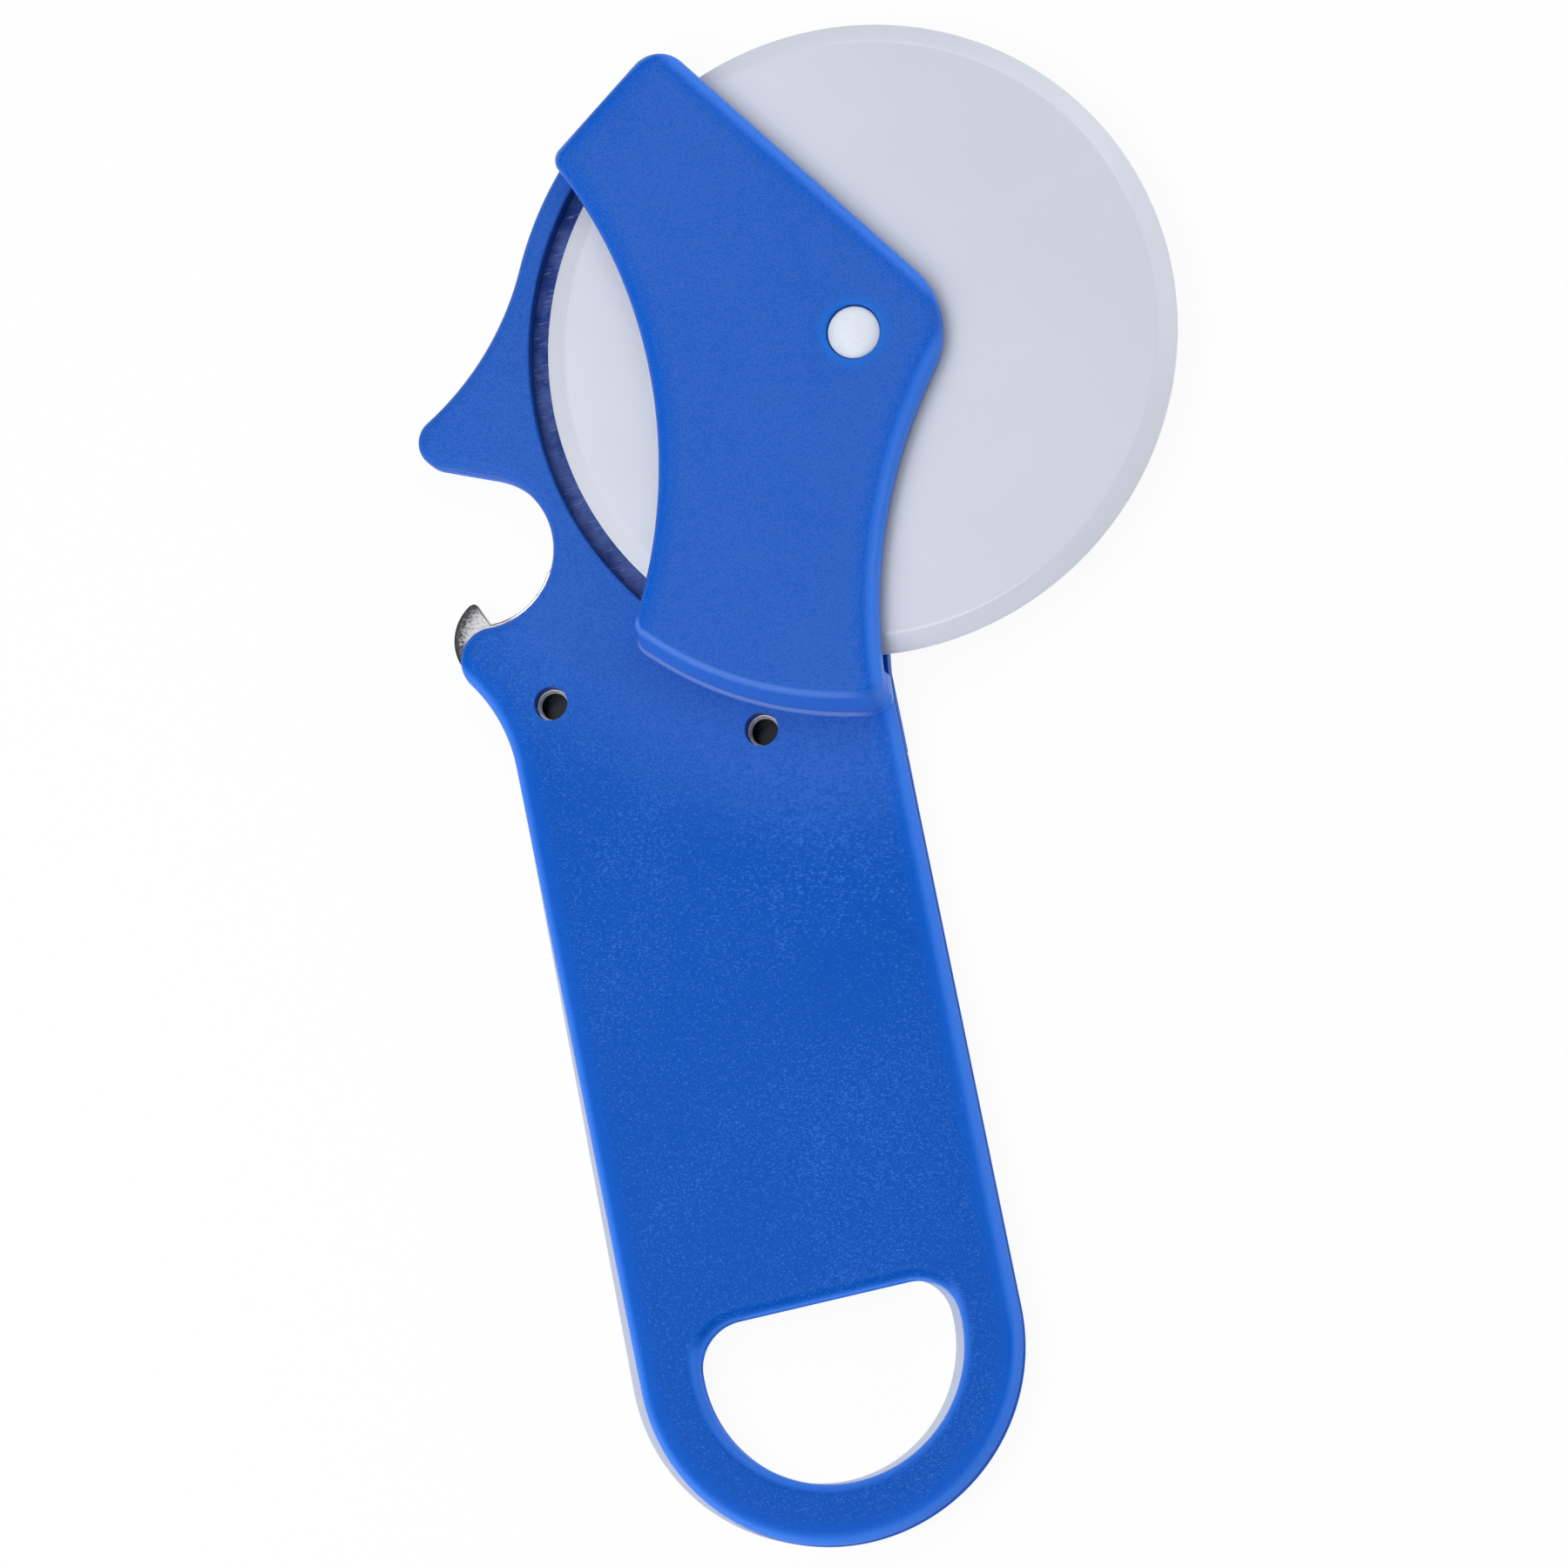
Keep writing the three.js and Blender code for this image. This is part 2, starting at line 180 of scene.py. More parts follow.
def drill(target, centre, radius, bottom, top, steps=64):
    profile = [(0, bottom), (radius, bottom), (radius, top), (0, top)]
    carve(target, solidObject("drill", turnedMesh(profile, centre, steps)))


def boxCut(target, low, high):
    bm = bmesh.new()
    bmesh.ops.create_cube(bm, size=1)
    size = [(b - a) * mm for a, b in zip(low, high)]
    middle = [(a + b) / 2 * mm for a, b in zip(low, high)]
    bmesh.ops.scale(bm, vec=size, verts=bm.verts)
    bmesh.ops.translate(bm, vec=middle, verts=bm.verts)
    carve(target, solidObject("box", bm))


def finishPiece(piece, material, body, slot, *nodes, sharp=14):
    bm = bmesh.new()
    bm.from_mesh(piece.data)
    bmesh.ops.remove_doubles(bm, verts=bm.verts, dist=2e-6)
    bmesh.ops.dissolve_degenerate(bm, edges=bm.edges, dist=1e-6)
    bm.to_mesh(piece.data)
    bm.free()
    piece.data.polygons.foreach_set("use_smooth", [True] * len(piece.data.polygons))
    piece.data.set_sharp_from_angle(angle=math.radians(sharp))
    weigh = piece.modifiers.new("weigh", "WEIGHTED_NORMAL")
    weigh.keep_sharp = True
    piece.data.materials.clear()
    piece.data.materials.append(material)
    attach(piece, body)
    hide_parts(*nodes)
    print("made", piece.name, len(piece.data.polygons), "faces")


# outlines

opener = {
    "notchTurn": 195.16, "notchWall": 3.3, "notch": 10.7, "lipTurn": 2.8, "lip": 4.6, "hump": 23.0,
    "beakAngle": 23.4, "beakLength": 7.9, "beakTip": 3.62, "beak": 40.6, "armShort": 0.8,
}
armShape = {
    "tilt": 35.5, "halfWidth": 12.0, "corner": 4.6, "tip": 2.2, "waist": 29.1, "waistRise": 2.3,
    "left": 70.0, "flankRise": 5.1,
    "riserWall": 3.5, "riserSlope": 1.6, "riserRound": 0.6, "foot": 0.8, "leftCorner": 2.3, "rightCorner": 2.6,
}

notch = polar(axle, math.radians(opener["notchTurn"]), layout["cavity"] + opener["notchWall"] + opener["notch"])
notchStart = -math.pi / 2 - math.radians(opener["lipTurn"])
notchEnd = math.pi / 2 - math.radians(opener["beakAngle"])
lip = polar(notch, notchStart, opener["notch"] + opener["lip"])
humpSide = lip.x + half + opener["hump"]
hump = Vector((-half - opener["hump"], lip.y - math.sqrt((opener["hump"] + opener["lip"]) ** 2 - humpSide ** 2)))
beakFoot = polar(notch, notchEnd, opener["notch"] + opener["beakTip"])
beak = polar(beakFoot, notchEnd + math.pi / 2, opener["beakLength"])
brow = crossing(beak, opener["beakTip"] + opener["beak"], axle, layout["strip"] + opener["beak"])
tilt = math.radians(armShape["tilt"])
armUp = tilt + math.pi / 2
armReach = layout["strip"] - opener["armShort"]
armLeft = Vector((axle.x - armShape["waist"] - armShape["left"], axle.y + armShape["waistRise"]))
tipLine = polar(axle, armUp, armReach - armShape["tip"])
tipGap = armLeft - tipLine
tipSide = tipGap.x * math.cos(tilt) + tipGap.y * math.sin(tilt)
tipAway = tipGap.x * math.cos(armUp) + tipGap.y * math.sin(armUp)
tip = polar(tipLine, tilt, tipSide + math.sqrt((armShape["left"] + armShape["tip"]) ** 2 - tipAway ** 2))
topCorner = polar(polar(axle, armUp, armReach - armShape["corner"]), tilt, armShape["halfWidth"] - armShape["corner"])
flankDrop = axle.y - layout["jointY"] - armShape["flankRise"]
flankSide = half - axle.x
flankRadius = (flankSide ** 2 + flankDrop ** 2 - armShape["halfWidth"] ** 2) / (2 * (armShape["halfWidth"] - flankSide))
flank = Vector((half + flankRadius, axle.y - flankDrop))
leftRivet = polar(axle, math.radians(216.82), 65.58)
rightRivet = polar(axle, math.radians(243.76), 55.41)


# the opener from the handle's left edge to the arm's end
def openerStrokes(inset, reach):
    humpTurn = angleTo(hump, lip)
    stripEnd = armUp + math.acos(reach / layout["strip"])
    return [
        (hump, opener["hump"] + inset, 0, humpTurn, False, 24),
        (lip, opener["lip"] - inset, humpTurn + math.pi, notchStart + math.pi, True, 36),
        (notch, opener["notch"] + inset, notchStart, notchEnd, False, 72),
        (beak, opener["beakTip"] - inset, notchEnd + math.pi, angleTo(beak, brow), True, 32),
        (brow, opener["beak"] + inset, angleTo(brow, beak), angleTo(brow, axle), False, 40),
        (axle, layout["strip"] - inset, angleTo(axle, brow), stripEnd, True, 48),
        polar(axle, armUp, reach),
        axle,
    ]


def shellOutline(inset, z):
    end = Vector((0, layout["endY"]))
    return openerStrokes(inset, armReach) + [
        Vector((half - inset, layout["slotY"])),
        (end, half - inset, 0, math.pi, True, 96),
    ]


def holeOutline(x, y):
    def outline(inset, z):
        radius, corner = handleHole["radius"], handleHole["corner"]
        cornerY = handleHole["flat"] - corner
        cornerX = math.sqrt((radius - corner) ** 2 - cornerY ** 2)
        lean = math.atan2(cornerY, cornerX)
        return [
            (Vector((x - cornerX, y + cornerY)), corner + inset, math.pi / 2, math.pi - lean, False, 28),
            (Vector((x, y)), radius + inset, math.pi - lean, lean, False, 96),
            (Vector((x + cornerX, y + cornerY)), corner + inset, lean, math.pi / 2, False, 28),
        ]
    return outline


# how far the riser's wall stands from the axle at a height, with a small hollow round at its foot
def riserRadius(z):
    a = armShape
    height = max(z, layout["face"])
    slope = a["riserSlope"] / (layout["armTop"] - layout["face"])
    low = max(0.0, layout["face"] + a["foot"] - height) * 0.95
    flare = a["foot"] - math.sqrt(a["foot"] ** 2 - low ** 2)
    return layout["cavity"] + a["riserWall"] + slope * (layout["armTop"] - height) + flare


def armOutline(inset, z):
    a = armShape
    riser = riserRadius(z) - a["riserRound"] * inset
    leftCorner, rightCorner = a["leftCorner"] - inset, a["rightCorner"] - inset
    left, right = a["left"] + inset, flankRadius + inset
    leftSpot = crossing(axle, riser - leftCorner, armLeft, left + leftCorner)
    rightSpot = crossing(axle, riser - rightCorner, flank, right + rightCorner, -1)
    return [
        (armLeft, left, angleTo(armLeft, leftSpot), angleTo(armLeft, tip), False, 72),
        (tip, a["tip"] - inset, angleTo(tip, armLeft), armUp, True, 20),
        (topCorner, a["corner"] - inset, armUp, tilt, True, 24),
        (axle, a["halfWidth"] - inset, tilt, angleTo(axle, flank), True, 40),
        (flank, right, angleTo(flank, axle), angleTo(flank, rightSpot), False, 48),
        (rightSpot, rightCorner, angleTo(rightSpot, flank), angleTo(axle, rightSpot), True, 16),
        (axle, riser, angleTo(axle, rightSpot), angleTo(axle, leftSpot), True, 56),
        (leftSpot, leftCorner, angleTo(axle, leftSpot), angleTo(leftSpot, armLeft), True, 16),
    ]


guardShape = {
    "rim": 0.8, "reachGap": 0.6, "armInset": 1.25, "right": 26.5, "rightTop": 46.0, "apart": 0.03,
    "pinHole": 3.8, "rivetHole": 2.35, "sink": 3.7, "sinkTop": 1.15, "pocketGap": 0.3, "pocketDepth": 1.25,
}


def guardHeadOutline(inset, z):
    bottom = layout["jointY"] + layout["seamGap"] + inset
    right = guardShape["right"] - inset
    return [Vector((-half + inset, bottom))] + openerStrokes(inset, armReach - guardShape["reachGap"]) + [
        Vector((right, guardShape["rightTop"])),
        Vector((right, bottom)),
    ]


def guardArmOutline(inset, z):
    a = armShape
    draw = guardShape["armInset"] + inset
    low = -math.asin((a["waistRise"] + layout["cavity"]) / a["left"])
    return [
        (armLeft, a["left"] + draw, low, angleTo(armLeft, tip), False, 72),
        (tip, a["tip"] - draw, angleTo(tip, armLeft), armUp, True, 12),
        (topCorner, a["corner"] - draw, armUp, tilt, True, 24),
        (axle, a["halfWidth"] - draw, tilt, angleTo(axle, flank), True, 40),
        (flank, flankRadius + draw, angleTo(flank, axle), math.pi, False, 48),
        Vector((half - draw, layout["jointY"] + layout["seamGap"] + inset)),
    ]


# the cover leans a little to the left of the front shell
coverShape = {"leftLean": 0.4, "rightLean": 0.15, "endLean": 1.4, "lift": 0.65, "rim": 0.8}
handleHole = {"radius": 18.35, "flat": 6.9, "corner": 6.3, "x": 0.2}


def coverOutline(inset, z):
    c = coverShape
    top, side = layout["jointY"] - inset, half - inset
    end = Vector((-c["endLean"], layout["endY"] + c["lift"]))
    return [
        Vector((side - c["rightLean"], top)),
        (end, side, 0, math.pi, True, 96),
        Vector((-side - c["leftLean"], top)),
    ]


steelPlate = {"finger": -30.0, "fingerWidth": 2.6, "peek": 0.75, "inner": 1.5, "land": 5.0,
              "hookTip": 0.7, "hookBack": 6.5, "edge": 0.3}


def hookBack():
    return lip + Vector((1.2, 2.95))


def plateOutline(inset, z):
    p = steelPlate
    fingerTurn = math.radians(p["finger"])
    hook, back = lip + Vector((-1.6, 7.95)), hookBack()
    edge = opener["notch"] - p["peek"]
    finger = polar(notch, fingerTurn, edge + p["fingerWidth"] / 2)
    across = angleTo(leftRivet, rightRivet)
    land, hookTurn = p["land"] - inset, angleTo(back, hook)
    return [
        (notch, edge + inset, fingerTurn, notchStart, True, 64),
        (hook, p["hookTip"] - inset, math.radians(opener["beakAngle"]), hookTurn, False, 16),
        (back, p["hookBack"] - inset, hookTurn, angleTo(back, lip) - math.pi / 6, False, 32),
        (leftRivet, land, math.pi, across + 1.5 * math.pi, False, 24),
        (rightRivet, land, across - math.pi / 2, angleTo(rightRivet, axle), False, 24),
        (axle, layout["cavity"] + p["inner"] + inset, angleTo(axle, leftRivet), angleTo(axle, finger), True, 32),
        (finger, p["fingerWidth"] / 2 - inset, fingerTurn, fingerTurn + math.pi, False, 12),
    ]


# materials

def addNode(tree, kind, **settings):
    made = tree.nodes.new(kind)
    for name, value in settings.items():
        setattr(made, name, value)
    return made


def feed(tree, source, target):
    tree.links.new(source, target)


def newGroup(name, inputs, outputs):
    tree = bpy.data.node_groups.new(name, "ShaderNodeTree")
    for label, kind, value in inputs:
        socket = tree.interface.new_socket(name=label, in_out="INPUT", socket_type="NodeSocket" + kind)
        if value is not None:
            socket.default_value = value
    for label, kind in outputs:
        tree.interface.new_socket(name=label, in_out="OUTPUT", socket_type="NodeSocket" + kind)
    return tree, addNode(tree, "NodeGroupInput"), addNode(tree, "NodeGroupOutput")


def noiseOn(tree, place, scale, detail=2.0, roughness=0.5):
    noise = addNode(tree, "ShaderNodeTexNoise")
    feed(tree, place, noise.inputs["Vector"])
    if isinstance(scale, (int, float)):
        noise.inputs["Scale"].default_value = scale
    else:
        feed(tree, scale, noise.inputs["Scale"])
    noise.inputs["Detail"].default_value = detail
    noise.inputs["Roughness"].default_value = roughness
    return noise.outputs["Fac"]


def rangeOn(tree, value, low, high, start=0.0, end=1.0):
    mapped = addNode(tree, "ShaderNodeMapRange", interpolation_type="SMOOTHSTEP")
    feed(tree, value, mapped.inputs["Value"])
    for label, number in (("From Min", low), ("From Max", high), ("To Min", start), ("To Max", end)):
        mapped.inputs[label].default_value = number
    return mapped.outputs["Result"]


def mathOn(tree, operation, first, second):
    made = addNode(tree, "ShaderNodeMath", operation=operation)
    for socket, value in zip(made.inputs, (first, second)):
        if isinstance(value, (int, float)):
            socket.default_value = value
        else:
            feed(tree, value, socket)
    return made.outputs["Value"]


def mixOn(tree, factor, first, second, blend="MIX"):
    made = addNode(tree, "ShaderNodeMix", data_type="RGBA", blend_type=blend)
    for socket, value in ((made.inputs[0], factor), (made.inputs[6], first), (made.inputs[7], second)):
        if isinstance(value, (int, float, tuple)):
            socket.default_value = value
        else:
            feed(tree, value, socket)
    return made.outputs[2]


def blendOn(tree, factor, first, second):
    made = addNode(tree, "ShaderNodeMix", data_type="FLOAT")
    for socket, value in zip((made.inputs[0], made.inputs[2], made.inputs[3]), (factor, first, second)):
        feed(tree, value, socket)
    return made.outputs[0]


# fine moulded grain, as a height
def mouldGrain():
    tree, given, out = newGroup("mouldGrain", [("Place", "Vector", None), ("Size", "Float", 2600.0)],
                                [("Height", "Float")])
    squeeze = addNode(tree, "ShaderNodeMapping", vector_type="TEXTURE")
    squeeze.inputs["Rotation"].default_value = (0, 0, -0.236)
    squeeze.inputs["Scale"].default_value = (1.5, 1, 1)
    feed(tree, given.outputs["Place"], squeeze.inputs["Vector"])
    fine = noiseOn(tree, squeeze.outputs["Vector"], given.outputs["Size"], 2.0, 0.5)
    coarse = noiseOn(tree, squeeze.outputs["Vector"], mathOn(tree, "MULTIPLY", given.outputs["Size"], 0.5), 1.0)
    height = mathOn(tree, "ADD", mathOn(tree, "MULTIPLY", fine, 0.75), mathOn(tree, "MULTIPLY", coarse, 0.25))
    feed(tree, height, out.inputs["Height"])
    return tree


# broad random patches of lighter and darker tone
def softMottle():
    tree, given, out = newGroup("softMottle", [("Place", "Vector", None), ("Size", "Float", 40.0)],
                                [("Mask", "Float")])
    wide = noiseOn(tree, given.outputs["Place"], given.outputs["Size"], 3.0, 0.6)
    feed(tree, rangeOn(tree, wide, 0.35, 0.68), out.inputs["Mask"])
    return tree


# short thin scratches in one direction
def fineScratch():
    tree, given, out = newGroup("fineScratch", [("Place", "Vector", None), ("Size", "Float", 300.0)],
                                [("Mask", "Float")])
    stretch = addNode(tree, "ShaderNodeMapping")
    stretch.inputs["Rotation"].default_value = (0, 0, 0.6)
    stretch.inputs["Scale"].default_value = (1, 9, 1)
    feed(tree, given.outputs["Place"], stretch.inputs["Vector"])
    lines = noiseOn(tree, stretch.outputs["Vector"], given.outputs["Size"], 4.0, 0.65)
    feed(tree, rangeOn(tree, lines, 0.56, 0.74), out.inputs["Mask"])
    return tree


grainGroup, mottleGroup, scratchGroup = mouldGrain(), softMottle(), fineScratch()


def placeGroup(tree, group, place, size):
    made = addNode(tree, "ShaderNodeGroup", node_tree=group)
    feed(tree, place, made.inputs["Place"])
    made.inputs["Size"].default_value = size
    return made


def newMaterial(name):
    material = bpy.data.materials.new(name)
    material.use_nodes = True
    tree = material.node_tree
    tree.nodes.clear()
    shader, out = addNode(tree, "ShaderNodeBsdfPrincipled"), addNode(tree, "ShaderNodeOutputMaterial")
    feed(tree, shader.outputs["BSDF"], out.inputs["Surface"])
    return material, tree, shader, addNode(tree, "ShaderNodeTexCoord").outputs["Object"]


def bumpOn(tree, shader, height, depth):
    bump = addNode(tree, "ShaderNodeBump")
    bump.inputs["Distance"].default_value = depth
    feed(tree, height, bump.inputs["Height"])
    feed(tree, bump.outputs["Normal"], shader.inputs["Normal"])


# distance from a vertical line, in metres
def awayFrom(tree, place, centre):
    shift = addNode(tree, "ShaderNodeMapping", vector_type="POINT")
    shift.inputs["Location"].default_value = (-centre.x * mm, -centre.y * mm, 0)
    shift.inputs["Scale"].default_value = (1, 1, 0)
    feed(tree, place, shift.inputs["Vector"])
    length = addNode(tree, "ShaderNodeVectorMath", operation="LENGTH")
    feed(tree, shift.outputs["Vector"], length.inputs[0])
    return length.outputs["Value"]


# one coordinate, in metres
def axisOn(tree, place, label):
    apart = addNode(tree, "ShaderNodeSeparateXYZ")
    feed(tree, place, apart.inputs["Vector"])
    return apart.outputs[label]


# most colours below are painted light: the lighter head colour and the grain specks stand for sheen and glints, the
# edge, wall, band and hole wall colours are painted light on edges and walls, and the riser's line colours and the ring
# round the pin are painted highlights
bluePlastic = {
    "deep": (0.0, 0.080, 0.448, 1), "light": (0.029, 0.124, 0.535, 1), "speck": (0.024, 0.14, 0.60, 1), "wall": (0.034, 0.15, 0.62, 1), "crestHighlight": (0.10, 0.235, 0.72, 1), "footHighlight": (0.16, 0.25, 0.60, 1),
    "band": (0.052, 0.21, 0.80, 1), "rim": (0.0, 0.1, 0.58, 1), "holeWallLight": (0.02, 0.21, 0.9, 1), "haloHighlight": (0.012, 0.15, 0.66, 1),
    "grain": 5600.0, "leather": 3600.0, "leatherSpot": Vector((20, 26)),
    "depth": 0.00005, "mottle": 42.0, "gloss": 0.06, "soft": 0.055,
}


# how far inside an edge a point lies, in metres: any edge of the arm or the handle, and the right one alone
def edgeGaps(tree, place):
    def past(turned, reach):
        dot = addNode(tree, "ShaderNodeVectorMath", operation="DOT_PRODUCT")
        feed(tree, place, dot.inputs[0])
        dot.inputs[1].default_value = (math.cos(turned), math.sin(turned), 0)
        limit = axle.x * math.cos(turned) + axle.y * math.sin(turned) + reach
        return mathOn(tree, "SUBTRACT", limit * mm, dot.outputs["Value"])

    armRight = mathOn(tree, "MINIMUM", past(tilt, armShape["halfWidth"]),
                      mathOn(tree, "SUBTRACT", awayFrom(tree, place, flank), flankRadius * mm))
    armAny = mathOn(tree, "MINIMUM", past(armUp, armReach),
                    mathOn(tree, "SUBTRACT", awayFrom(tree, place, armLeft), armShape["left"] * mm))
    armAny = mathOn(tree, "MINIMUM", armAny, armRight)
    below = mathOn(tree, "MINIMUM", mathOn(tree, "SUBTRACT", axisOn(tree, place, "Y"), layout["endY"] * mm), 0)
    across = axisOn(tree, place, "X")
    outward = mathOn(tree, "SQRT", mathOn(tree, "ADD", mathOn(tree, "MULTIPLY", across, across),
                                          mathOn(tree, "MULTIPLY", below, below)), 0)
    raised = rangeOn(tree, axisOn(tree, place, "Z"), 0.0085, 0.009)
    # above the handle the edge follows the hump
    beyond = rangeOn(tree, axisOn(tree, place, "Y"), hump.y * mm, (hump.y + 0.5) * mm, 0.0, 1.0)
    side = mathOn(tree, "ADD", mathOn(tree, "SUBTRACT", half * mm, outward), beyond)
    side = mathOn(tree, "MINIMUM", side, mathOn(tree, "SUBTRACT", awayFrom(tree, place, hump), opener["hump"] * mm))
    anyEdge = blendOn(tree, raised, side, armAny)
    return anyEdge, blendOn(tree, raised, mathOn(tree, "SUBTRACT", half * mm, across), armRight)


def makeBlue():
    b = bluePlastic
    material, tree, shader, place = newMaterial("moulded_blue")
    fine = placeGroup(tree, grainGroup, place, b["grain"])
    leather = placeGroup(tree, grainGroup, place, b["leather"])
    mottle = placeGroup(tree, mottleGroup, place, b["mottle"])
    patch = rangeOn(tree, awayFrom(tree, place, b["leatherSpot"]), 0.012, 0.034, 0.8, 0.0)
    height = blendOn(tree, patch, fine.outputs["Height"], leather.outputs["Height"])
    anyEdge, rightEdge = edgeGaps(tree, place)
    # painted glints: crests of the grain are lighter, many of them on the head, fewer and softer on the handle and
    # along the edges
    edgeNoSheen = rangeOn(tree, anyEdge, 0.0016, 0.0040, 1.0, 0.0)
    away = awayFrom(tree, place, axle)
    onHandle = rangeOn(tree, away, 0.054, 0.076)
    grain = mathOn(tree, "ADD", height, rangeOn(tree, mottle.outputs["Mask"], 0.0, 1.0, -0.02, 0.02))
    grain = mathOn(tree, "SUBTRACT", grain, mathOn(tree, "MULTIPLY", edgeNoSheen, 0.08))
    crest = blendOn(tree, onHandle, rangeOn(tree, grain, 0.48 - b["soft"], 0.48 + b["soft"]),
                    rangeOn(tree, grain, 0.51, 0.65, 0.0, 0.9))
    # painted sheen: the head is mixed towards the lighter blue, standing in for its hazier reflection; the handle keeps
    # the deep blue
    colour = mixOn(tree, rangeOn(tree, onHandle, 0.0, 1.0, 0.45, 0.0), b["deep"], b["light"])
    # painted light: a band just inside the edges is a clearer, more saturated blue, as where the surface shows no sheen
    colour = mixOn(tree, mathOn(tree, "MULTIPLY", edgeNoSheen, 0.7), colour, b["rim"])
    colour = mixOn(tree, crest, colour, mixOn(tree, onHandle, b["light"], b["speck"]))
    rise = axisOn(tree, place, "Z")
    # painted light: the upright walls between 6.4 and 11.6 mm high are a lighter blue, as where the side lamps fall on
    # them
    wall = mathOn(tree, "MULTIPLY", rangeOn(tree, rise, 0.0064, 0.0070), rangeOn(tree, rise, 0.0104, 0.0116, 1.0, 0.0))
    colour = mixOn(tree, wall, colour, b["wall"])
    # painted highlights: the riser's crest and foot are lighter lines, as where they catch the light
    onRiser = rangeOn(tree, away, (layout["cavity"] + 1.7) * mm, (layout["cavity"] + 2.6) * mm)
    onRiser = mathOn(tree, "MULTIPLY", onRiser, rangeOn(tree, axisOn(tree, place, "X"), 0.0205, 0.0245, 1.0, 0.1))
    crestHighlight = mathOn(tree, "MULTIPLY", rangeOn(tree, rise, 0.0104, 0.0110, 0.0, 0.7), rangeOn(tree, rise, 0.0114, 0.0119, 1.0, 0.0))
    colour = mixOn(tree, mathOn(tree, "MULTIPLY", crestHighlight, onRiser), colour, b["crestHighlight"])
    footHighlight = mathOn(tree, "MULTIPLY", rangeOn(tree, rise, 0.00602, 0.0061, 0.0, 0.7), rangeOn(tree, rise, 0.0063, 0.0067, 1.0, 0.0))
    colour = mixOn(tree, mathOn(tree, "MULTIPLY", footHighlight, onRiser), colour, b["footHighlight"])
    # painted light: lighter bands on the rounded edges along the hole, the left side and the right side, where light
    # falls on them
    hole = Vector((handleHole["x"], layout["endY"]))
    holeGap = mathOn(tree, "SUBTRACT", awayFrom(tree, place, hole), handleHole["radius"] * mm)
    low = rangeOn(tree, axisOn(tree, place, "Y"), (hole.y + 3) * mm, (hole.y + 6) * mm, 0.6, 0.0)
    rim = mathOn(tree, "MULTIPLY", rangeOn(tree, holeGap, 0.0005, 0.0017, 1.0, 0.0), low)
    leftBandLight = mathOn(tree, "MULTIPLY", rangeOn(tree, anyEdge, 0.0005, 0.0017, 0.8, 0.0),
                     rangeOn(tree, rise, 0.0060, 0.0062, 1.0, 0.0))
    rim = mathOn(tree, "MAXIMUM", rim, mathOn(tree, "MAXIMUM", leftBandLight, rangeOn(tree, rightEdge, 0.0006, 0.0020, 0.75, 0.0)))
    colour = mixOn(tree, mathOn(tree, "MULTIPLY", rim, rangeOn(tree, rise, 0.0042, 0.0048)), colour, b["band"])
    # painted light: the lower wall of the handle's hole is a brighter blue
    holeWallLight = mathOn(tree, "MULTIPLY", rangeOn(tree, holeGap, -0.0002, 0.0003, 0.9, 0.0), rangeOn(tree, rise, 0.0046, 0.0056, 1.0, 0.0))
    colour = mixOn(tree, holeWallLight, colour, b["holeWallLight"])
    # painted highlight: a soft lighter ring around the axle pin's hole
    haloHighlight = rangeOn(tree, away, 0.0038, 0.0056, 0.8, 0.0)
    feed(tree, mixOn(tree, haloHighlight, colour, b["haloHighlight"]), shader.inputs["Base Color"])
    # the upright walls are duller
    upright = mathOn(tree, "MULTIPLY", rangeOn(tree, rise, 0.0062, 0.0070), rangeOn(tree, rise, 0.0092, 0.0104, 0.45, 0.0))
    upright = mathOn(tree, "MAXIMUM", upright, rangeOn(tree, rise, 0.0038, 0.0048, 0.8, 0.0))
    feed(tree, mathOn(tree, "MAXIMUM", upright, rangeOn(tree, height, 0.35, 0.65, 0.32, 0.24)), shader.inputs["Roughness"])
    shader.inputs["Specular IOR Level"].default_value = b["gloss"]
    calm = mathOn(tree, "MULTIPLY", mathOn(tree, "SUBTRACT", height, 0.5), rangeOn(tree, anyEdge, 0.0008, 0.0022, 0.3, 1.0))
    bumpOn(tree, shader, calm, b["depth"])
    return material


guardPlastic = {
    # deep and pale are painted shade colours for the window's floor; edge is a painted lighter blue
    "deep": (0.017, 0.048, 0.24, 1), "pale": (0.072, 0.127, 0.38, 1), "scratch": (0.24, 0.29, 0.60, 1),
    "edge": (0.004, 0.15, 0.72, 1), "right": 0.02, "gloss": 0.12, "depth": 0.00004,
}


